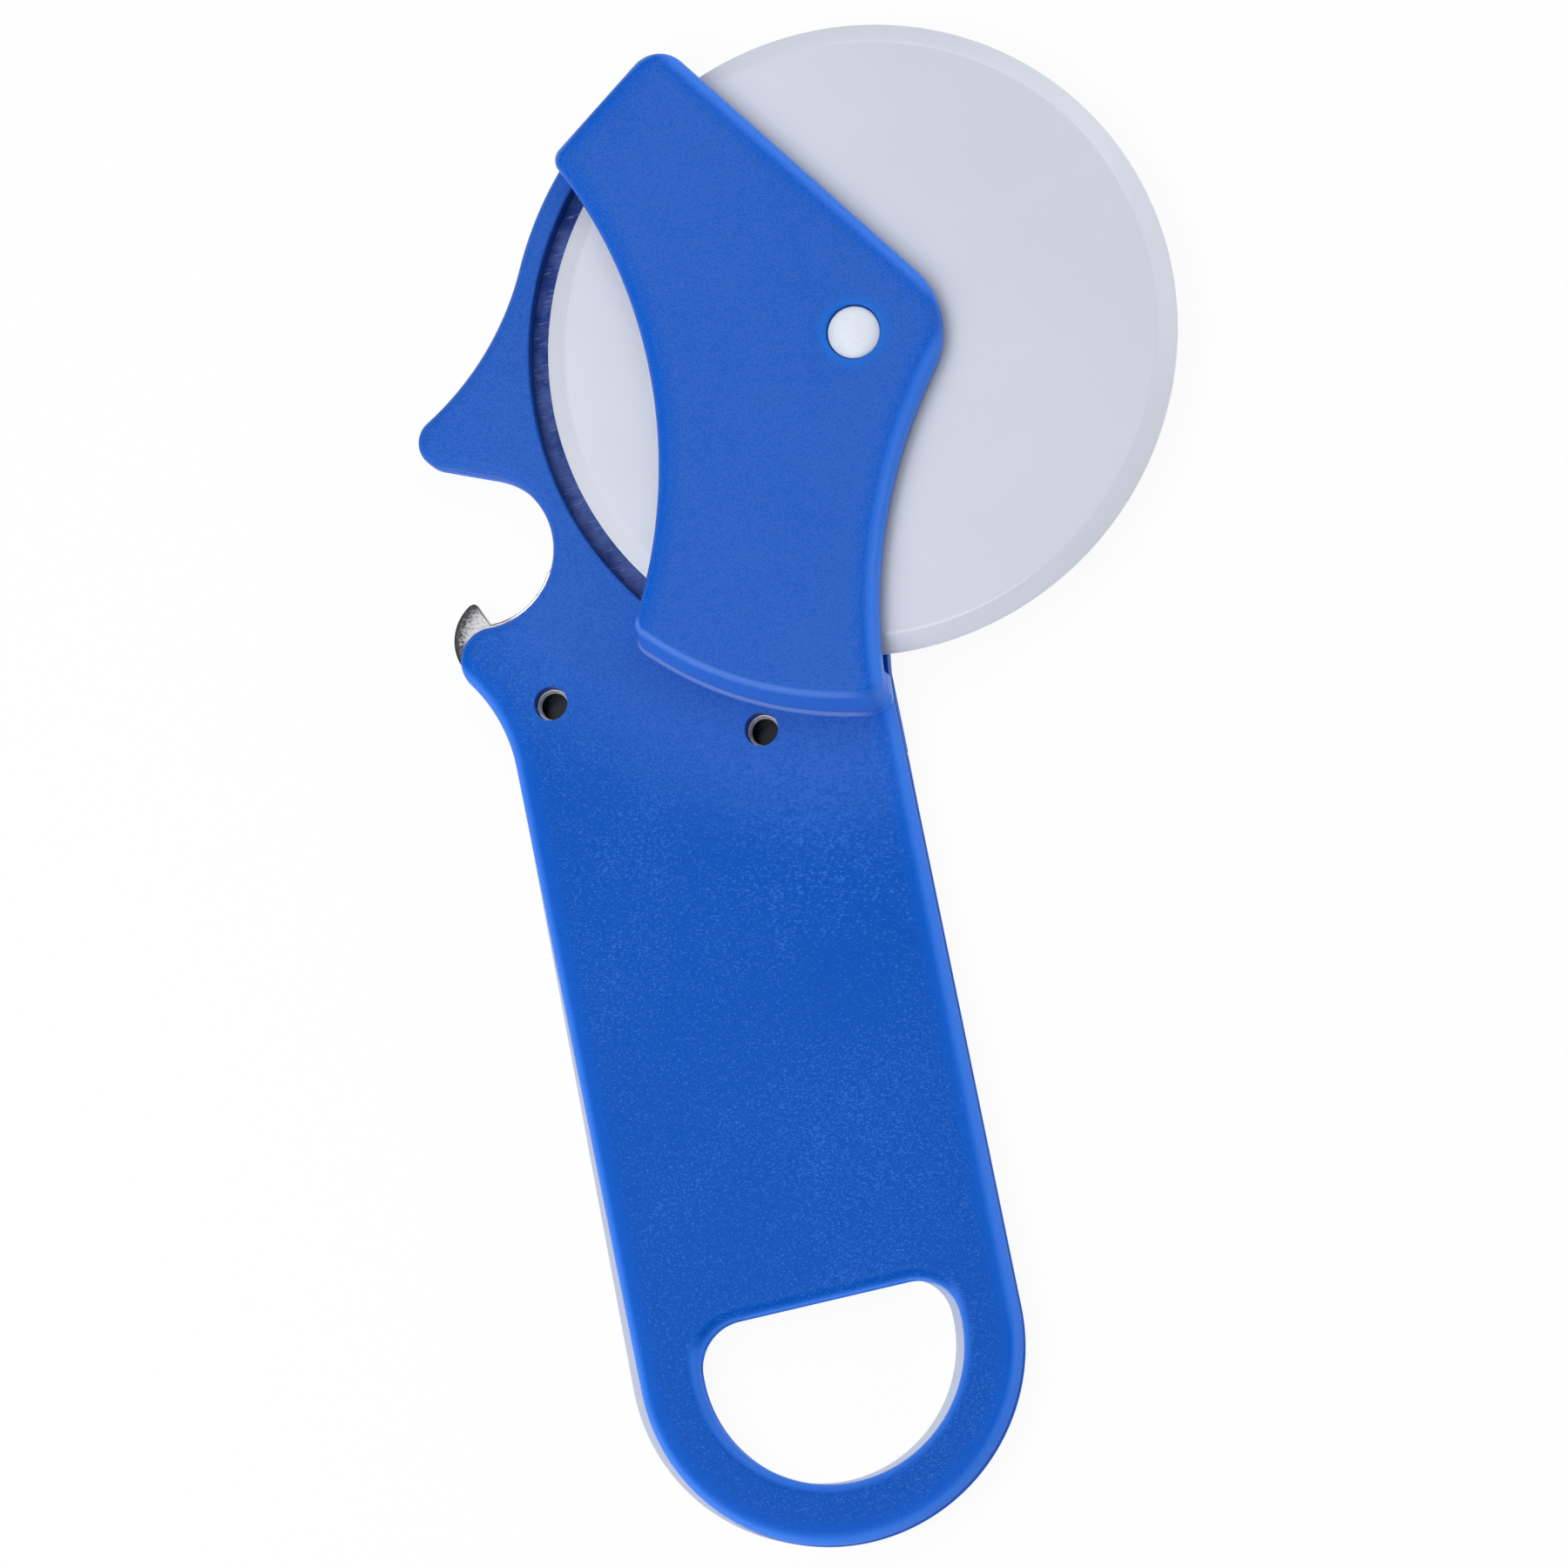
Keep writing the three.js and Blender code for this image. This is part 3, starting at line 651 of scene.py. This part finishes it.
# painted shade: navy where the wheel's window shows the guard's top, standing in for the shadow there; painted light:
# brighter blue along its edges and at the right, where the slot is in shade
def makeGuard():
    g = guardPlastic
    material, tree, shader, place = newMaterial("moulded_blue_back")
    grain = placeGroup(tree, grainGroup, place, 2200.0)
    scratch = placeGroup(tree, scratchGroup, place, 420.0)
    mottle = placeGroup(tree, mottleGroup, place, 230.0)
    # painted shade: the floor seen through the window is dark navy, with random patches and light scratches
    floor = mixOn(tree, mottle.outputs["Mask"], g["deep"], g["pale"])
    floor = mixOn(tree, mathOn(tree, "MULTIPLY", scratch.outputs["Mask"], 0.8), floor, g["scratch"])
    # painted light: right of x = 20 mm and off the floor level the guard takes the brighter edge blue, making up for
    # the shade in the slot
    across = rangeOn(tree, axisOn(tree, place, "X"), g["right"], g["right"] + 0.003, 1.0, 0.0)
    inside = mathOn(tree, "MULTIPLY", rangeOn(tree, axisOn(tree, place, "Z"), 0.00312, 0.00318), across)
    colour = mixOn(tree, inside, g["edge"], floor)
    feed(tree, colour, shader.inputs["Base Color"])
    feed(tree, rangeOn(tree, grain.outputs["Height"], 0.3, 0.7, 0.6, 0.45), shader.inputs["Roughness"])
    shader.inputs["Specular IOR Level"].default_value = g["gloss"]
    bumpOn(tree, shader, grain.outputs["Height"], g["depth"])
    return material


whitePlastic = {"wheel": (0.615, 0.645, 0.725, 1), "wheelShade": (0.597, 0.628, 0.709, 1),
                "cover": (0.565, 0.61, 0.655, 1), "coverShade": (0.54, 0.58, 0.63, 1),
                "pin": (0.71, 0.755, 0.84, 1), "pinShade": (0.67, 0.715, 0.80, 1)}


def makeWhite(name, colour, shade, roughness, depth):
    material, tree, shader, place = newMaterial(name)
    grain = placeGroup(tree, grainGroup, place, 1800.0)
    mottle = placeGroup(tree, mottleGroup, place, 30.0)
    feed(tree, mixOn(tree, mottle.outputs["Mask"], colour, shade), shader.inputs["Base Color"])
    feed(tree, rangeOn(tree, grain.outputs["Height"], 0.3, 0.7, roughness + 0.04, roughness - 0.04),
         shader.inputs["Roughness"])
    bumpOn(tree, shader, grain.outputs["Height"], depth)
    return material


platedSteel = {
    "bright": (0.86, 0.86, 0.85, 1), "dull": (0.52, 0.52, 0.52, 1), "shadow": (0.03, 0.031, 0.035, 1),
    "hook": (0.30, 0.30, 0.31, 1), "hookDull": (0.12, 0.12, 0.125, 1),
    # the near-black bore colour is painted shade
    "rust": (0.16, 0.06, 0.025, 1), "boreShade": (0.005, 0.008, 0.018, 1), "speck": 1100.0, "depth": 0.000004,
    "boreTop": 0.00332, "boreFloor": 0.0013, "boreGloss": 0.15, "rimMetal": 0.35, "rollStart": 0.0041, "rollEnd": 0.0060, "streak": 0.0045,
}


# painted shade: the hook darkens towards its rolled outer edge, where it turns away from the light; the hook is also a
# darker grey than the rest of the plate
def makeSteel():
    s = platedSteel
    material, tree, shader, place = newMaterial("plated_steel")
    grain = placeGroup(tree, grainGroup, place, 3200.0)
    scratch = placeGroup(tree, scratchGroup, place, 700.0)
    back = hookBack()
    onHook = rangeOn(tree, axisOn(tree, place, "X"), (back.x + 1.5) * mm, (back.x + 3.5) * mm, 1.0, 0.0)
    colour = mixOn(tree, onHook, mixOn(tree, scratch.outputs["Mask"], s["bright"], s["dull"]),
                   mixOn(tree, scratch.outputs["Mask"], s["hook"], s["hookDull"]))
    uneven = mathOn(tree, "MULTIPLY", mathOn(tree, "SUBTRACT", grain.outputs["Height"], 0.5), s["streak"])
    outward = mathOn(tree, "ADD", awayFrom(tree, place, back), uneven)
    side = rangeOn(tree, axisOn(tree, place, "X"), (back.x - 2.6) * mm, (back.x - 1.4) * mm, 1.0, 0.0)
    # painted shade: darker by distance from the hook's back, with a grainy boundary
    shadow = mathOn(tree, "MULTIPLY", rangeOn(tree, outward, s["rollStart"], s["rollEnd"]), side)
    colour = mixOn(tree, shadow, colour, s["shadow"])
    rust = rangeOn(tree, noiseOn(tree, place, s["speck"], 1.0), 0.70, 0.74)
    feed(tree, mixOn(tree, rust, colour, s["rust"]), shader.inputs["Base Color"])
    feed(tree, rangeOn(tree, rust, 0.0, 1.0, 1.0, 0.0), shader.inputs["Metallic"])
    feed(tree, rangeOn(tree, grain.outputs["Height"], 0.3, 0.7, 0.36, 0.22), shader.inputs["Roughness"])
    bumpOn(tree, shader, grain.outputs["Height"], s["depth"])
    return material


# bright rims; painted shade makes the bores near black
def makeRivetSteel():
    s = platedSteel
    material, tree, shader, place = newMaterial("plated_steel_rivet")
    grain = placeGroup(tree, grainGroup, place, 3200.0)
    scratch = placeGroup(tree, scratchGroup, place, 900.0)
    colour = mixOn(tree, mathOn(tree, "MULTIPLY", scratch.outputs["Mask"], 0.6), s["bright"], s["dull"])
    rise = axisOn(tree, place, "Z")
    # painted shade: inside the bore the colour is near black and not metallic, as a deep hole in shadow
    boreShade = mathOn(tree, "MULTIPLY", rangeOn(tree, rise, s["boreTop"] - 0.25 * mm, s["boreTop"], 1.0, 0.0),
                  rangeOn(tree, rise, s["boreFloor"] - 0.1 * mm, s["boreFloor"] - 0.05 * mm))
    feed(tree, mixOn(tree, boreShade, colour, s["boreShade"]), shader.inputs["Base Color"])
    feed(tree, rangeOn(tree, boreShade, 0.0, 1.0, s["rimMetal"], 0.0), shader.inputs["Metallic"])
    feed(tree, rangeOn(tree, grain.outputs["Height"], 0.3, 0.7, 0.3, 0.2), shader.inputs["Roughness"])
    shader.inputs["Specular IOR Level"].default_value = s["boreGloss"]
    return material


blue, guardBlue = makeBlue(), makeGuard()
steel, rivetSteel = makeSteel(), makeRivetSteel()
w = whitePlastic
wheelWhite = makeWhite("moulded_white_wheel", w["wheel"], w["wheelShade"], 0.22, 0.0000012)
coverWhite = makeWhite("moulded_white_cover", w["cover"], w["coverShade"], 0.42, 0.00003)
pinWhite = makeWhite("moulded_white_pin", w["pin"], w["pinShade"], 0.3, 0.000001)
print("materials ready:", len(bpy.data.materials))

# pieces

shell = {"edgeRound": 1.8, "armRound": 2.1, "lead": 6, "band": 0.25, "windowRound": 0.35, "pinHole": 3.8, "pinHoleRound": 0.5, "rivetHole": 2.35}


def makeShell():
    s = shell
    face, top, cavity = layout["face"], layout["armTop"], layout["cavity"]
    levels = [(0, layout["shellBottom"])] + roundLevels(s["edgeRound"], face, s["lead"], s["band"])
    hole = holeOutline(handleHole["x"], layout["endY"])
    base = solidObject("front_shell_moulding", slabMesh(levels, shellOutline, hole))
    boxCut(base, (-100, layout["jointY"], 0), (100, 200, layout["headBottom"]))
    angles = [step / 6 * math.pi / 2 for step in range(7)]
    flare = [(cavity + s["windowRound"] * (1 - math.cos(a)), face - s["windowRound"] * (1 - math.sin(a))) for a in angles]
    profile = [(0, 1)] + [(cavity, 1)] + flare + [(flare[-1][0], 7), (0, 7)]
    carve(base, solidObject("window", turnedMesh(profile, axle, 360)))
    footSteps = [face + armShape["foot"] * f for f in (0.0, 0.06, 0.16, 0.3, 0.5, 0.75, 1.0)]
    armLevels = [(0, layout["headBottom"])] + [(0, z) for z in footSteps]
    armLevels += roundLevels(s["armRound"], top, s["lead"], s["band"])
    arm = solidObject("arm", slabMesh(armLevels, armOutline))
    drill(arm, axle, cavity, 1, layout["armBottom"], 360)
    hole = [(s["pinHole"] + s["pinHoleRound"] * (1 - math.cos(a)), top - s["pinHoleRound"] * (1 - math.sin(a))) for a in angles]
    profile = [(0, 8), (s["pinHole"], 8)] + hole + [(hole[-1][0], 13), (0, 13)]
    carve(arm, solidObject("hole", turnedMesh(profile, axle, 96)))
    carve(base, arm, "UNION")
    for spot in (leftRivet, rightRivet):
        drill(base, spot, s["rivetHole"], 0, 8)
    finishPiece(base, blue, "frame", "blue_plastic", "front_shell")


def makeGuardPiece():
    g = guardShape
    top, below, above, apart = layout["guardTop"], -1, layout["armTop"] + 1, g["apart"]
    levels = [(inset, top - z) for inset, z in roundLevels(g["rim"], top)][::-1] + [(0, top)]
    armLevels = [(inset, z + apart) for inset, z in levels[:-1]] + [(0, top - apart)]
    guard = solidObject("back_guard_moulding", slabMesh(levels, guardHeadOutline))
    carve(guard, solidObject("guardArm", slabMesh(armLevels, guardArmOutline)), "UNION")
    pocket = [(-g["pocketGap"], top - g["pocketDepth"]), (-g["pocketGap"], above)]
    carve(guard, solidObject("pocket", slabMesh(pocket, plateOutline)))
    drill(guard, axle, g["pinHole"], below, above)
    sink = [(0, below), (g["sink"], below), (g["sink"], g["sinkTop"]),
            (g["rivetHole"], g["sinkTop"]), (g["rivetHole"], above), (0, above)]
    for spot in (leftRivet, rightRivet):
        carve(guard, solidObject("sink", turnedMesh(sink, spot, 64)))
    finishPiece(guard, guardBlue, "frame", "blue_plastic", "back_guard")


def makeCover():
    c, top = coverShape, layout["coverTop"]
    levels = [(inset, top - z) for inset, z in roundLevels(c["rim"], top)][::-1] + [(0, top)]
    hole = holeOutline(handleHole["x"] - c["endLean"], layout["endY"] + c["lift"])
    cover = solidObject("handle_back_cover", slabMesh(levels, coverOutline, hole))
    finishPiece(cover, coverWhite, "frame", "white_plastic", "handle_cover")


def makePlate():
    low, high = layout["guardTop"] - 1.2, layout["guardTop"] - 0.05
    levels = [(0, low)] + roundLevels(steelPlate["edge"], high, 0, 0.1, 5)
    plate = solidObject("opener_steel_plate", slabMesh(levels, plateOutline))
    for spot in (leftRivet, rightRivet):
        drill(plate, spot, 2.35, 0, 13)
    finishPiece(plate, steel, "frame", "plated_steel", "opener_plate")


# a hollow rivet with a flared rim inside the shell's hole and a set head at the back
rivetShape = {"bore": 1.85, "tube": 2.1, "floor": 1.3, "neck": 3.3, "rim": 2.28, "rimTop": 4.0, "roll": 0.14,
              "head": 3.4, "headTop": 1.1, "headBottom": 0.2, "edge": 0.2}


def makeRivet(name, spot, node):
    r = rivetShape
    flare = [(r["bore"] + (r["rim"] - r["roll"] - r["bore"]) * part ** 1.4, r["neck"] + (r["rimTop"] - r["neck"]) * part)
             for part in (0, 0.08, 0.2, 0.4, 0.6, 0.8, 1.0)]
    roll = [(r["rim"] - r["roll"] / 2 * (1 + math.cos(a)), r["rimTop"] + r["roll"] / 2 * math.sin(a))
            for a in [step / 6 * math.pi for step in range(1, 7)]]
    head, edge, top, bottom = r["head"], r["edge"], r["headTop"], r["headBottom"]
    profile = [(0, r["floor"]), (r["bore"], r["floor"])] + flare + roll + [
        (r["rim"], r["rimTop"] - 0.3), (r["tube"], r["neck"] - 0.2), (r["tube"], top), (head - edge, top),
        (head, top - edge), (head, bottom + edge), (head - edge, bottom), (0, bottom)]
    rivet = solidObject(name, turnedMesh(profile, spot, 72))
    finishPiece(rivet, rivetSteel, "frame", "plated_steel", node, sharp=40)


disc = {"radius": 44.0, "flat": 41.4, "web": 1.4, "edge": 0.3, "hub": 9.0, "hubTop": 2.5, "bore": 3.6, "round": 0.3}


def makeWheel():
    d = disc
    flat, radius, web, edge, hub, rim = d["flat"], d["radius"], d["web"], d["edge"], d["hub"], d["round"]
    upper = [(d["bore"], d["hubTop"]), (hub - rim, d["hubTop"]), (hub, d["hubTop"] - rim), (hub, web + 0.2),
             (hub + 0.2, web), (flat - rim, web), (flat, web - 0.03), (flat + rim, web - 0.13),
             (radius - rim / 2, edge + 0.06), (radius, edge - 0.1)]
    middle = layout["face"]
    profile = [(r, middle + z) for r, z in upper] + [(r, middle - z) for r, z in upper[::-1]]
    wheel = solidObject("cutting_wheel_disc", turnedMesh(profile + profile[:1], axle, 360))
    finishPiece(wheel, wheelWhite, "wheel", "white_plastic", "cutting_wheel", sharp=24)


axlePin = {"radius": 3.66, "drop": 0.1, "dome": 0.75, "mark": 2.35, "markWidth": 0.16, "markDepth": 0.035, "foot": 0.5}


def makePin():
    p = axlePin
    top, radius = layout["armTop"] - p["drop"], p["radius"]

    # the dome, with a shallow ring left by the mould
    def height(r):
        groove = max(0.0, 1 - abs(r - p["mark"]) / p["markWidth"]) * p["markDepth"]
        return top - p["dome"] * (1 - math.sqrt(max(0.0, 1 - (r / radius) ** 2))) - groove

    spots = [radius * math.sin(step / 48 * math.pi / 2) for step in range(49)]
    profile = [(r, height(r)) for r in spots]
    profile += [(radius, p["foot"] + p["drop"]), (radius - p["foot"], p["drop"]), (0, p["drop"])]
    pin = solidObject("axle_pin_domed", turnedMesh(profile, axle, 96))
    finishPiece(pin, pinWhite, "wheel", "white_plastic", "axle_pin", sharp=40)


makeShell()
makeGuardPiece()
makeCover()
makePlate()
makeRivet("rivet_left_tube", leftRivet, "rivet_left")
makeRivet("rivet_right_tube", rightRivet, "rivet_right")
makeWheel()
makePin()
print("pieces done")

# stage

studio = {"floor": (0.9, 0.9, 0.9, 1), "glow": 0.93, "world": 0.05, "aim": Vector((0.01, 0.03, 0.006))}
# azimuth and elevation in degrees, distance, width and height in metres, brightness
softboxes = {
    "softbox_right": (30, 44, 0.62, 0.39, 0.31, 1.1),
    "softbox_top_right": (70, 44, 0.62, 0.39, 0.31, 1.8),
    "softbox_top": (110, 40, 0.62, 0.39, 0.31, 0.8),
    "softbox_overhead": (133, 64, 0.60, 0.22, 0.22, 3.0),
    "softbox_front": (226, 72, 0.62, 0.34, 0.34, 4.1),
    "softbox_left": (195, 52, 0.46, 0.44, 0.26, 1.5),
    "softbox_left_low": (212, 7, 0.50, 0.50, 0.10, 6.5),
    "softbox_front_low": (278, 8, 0.55, 0.45, 0.12, 3.0),
    "softbox_right_low": (352, 12, 0.90, 0.55, 0.30, 3.4),
    "softbox_back_low": (48, 12, 1.00, 0.75, 0.30, 3.4),
}


def makeFloor():
    bm = bmesh.new()
    bmesh.ops.create_grid(bm, x_segments=1, y_segments=1, size=3)
    floor = solidObject("floor", bm)
    floor.location.z = -0.0001
    material = bpy.data.materials.new("floor_white")
    material.use_nodes = True
    tree = material.node_tree
    tree.nodes.clear()
    matte, glow = addNode(tree, "ShaderNodeBsdfDiffuse"), addNode(tree, "ShaderNodeEmission")
    matte.inputs["Color"].default_value = studio["floor"]
    mix, out = addNode(tree, "ShaderNodeMixShader"), addNode(tree, "ShaderNodeOutputMaterial")
    path = addNode(tree, "ShaderNodeLightPath")
    seen = mathOn(tree, "MAXIMUM", path.outputs["Is Camera Ray"],
                  mathOn(tree, "MAXIMUM", path.outputs["Is Glossy Ray"], path.outputs["Is Transmission Ray"]))
    feed(tree, mathOn(tree, "MULTIPLY", seen, studio["glow"]), mix.inputs["Fac"])
    feed(tree, matte.outputs["BSDF"], mix.inputs[1])
    feed(tree, glow.outputs["Emission"], mix.inputs[2])
    feed(tree, mix.outputs["Shader"], out.inputs["Surface"])
    floor.data.materials.append(material)


def makeWorld():
    world = bpy.data.worlds.new("studio")
    bpy.context.scene.world = world
    world.use_nodes = True
    tree = world.node_tree
    tree.nodes.clear()
    glow, out = addNode(tree, "ShaderNodeBackground"), addNode(tree, "ShaderNodeOutputWorld")
    glow.inputs["Color"].default_value = (0.95, 0.97, 1, 1)
    glow.inputs["Strength"].default_value = studio["world"]
    feed(tree, glow.outputs["Background"], out.inputs["Surface"])


def addSoftbox(name, azimuth, elevation, far, width, height, level):
    light = bpy.data.lights.new(name, "AREA")
    light.shape, light.size, light.size_y = "RECTANGLE", width, height
    light.energy = math.pi * width * height * level
    across, up = math.radians(azimuth), math.radians(elevation)
    way = Vector((math.cos(across) * math.cos(up), math.sin(across) * math.cos(up), math.sin(up)))
    made = bpy.data.objects.new(name, light)
    made.location = studio["aim"] + way * far
    made.rotation_mode = "QUATERNION"
    made.rotation_quaternion = (-way).to_track_quat("-Z", "Y")
    bpy.context.scene.collection.objects.link(made)


def makeCamera():
    camera = bpy.data.objects.new("camera", bpy.data.cameras.new("camera"))
    camera.data.lens, camera.data.sensor_width = 320, 36
    camera.data.clip_start, camera.data.clip_end = 0.05, 20
    place = Matrix(((0.95834, 0.23068, 0.16843, 0.32989), (-0.19603, 0.96008, -0.19954, -0.34607),
                    (-0.20774, 0.15821, 0.96531, 1.84127), (0, 0, 0, 1)))
    camera.matrix_world = place
    bpy.context.scene.collection.objects.link(camera)
    bpy.context.scene.camera = camera


makeFloor()
makeWorld()
for name, settings in softboxes.items():
    addSoftbox(name, *settings)
makeCamera()
bpy.context.scene.view_settings.view_transform = "Standard"
print("stage ready")
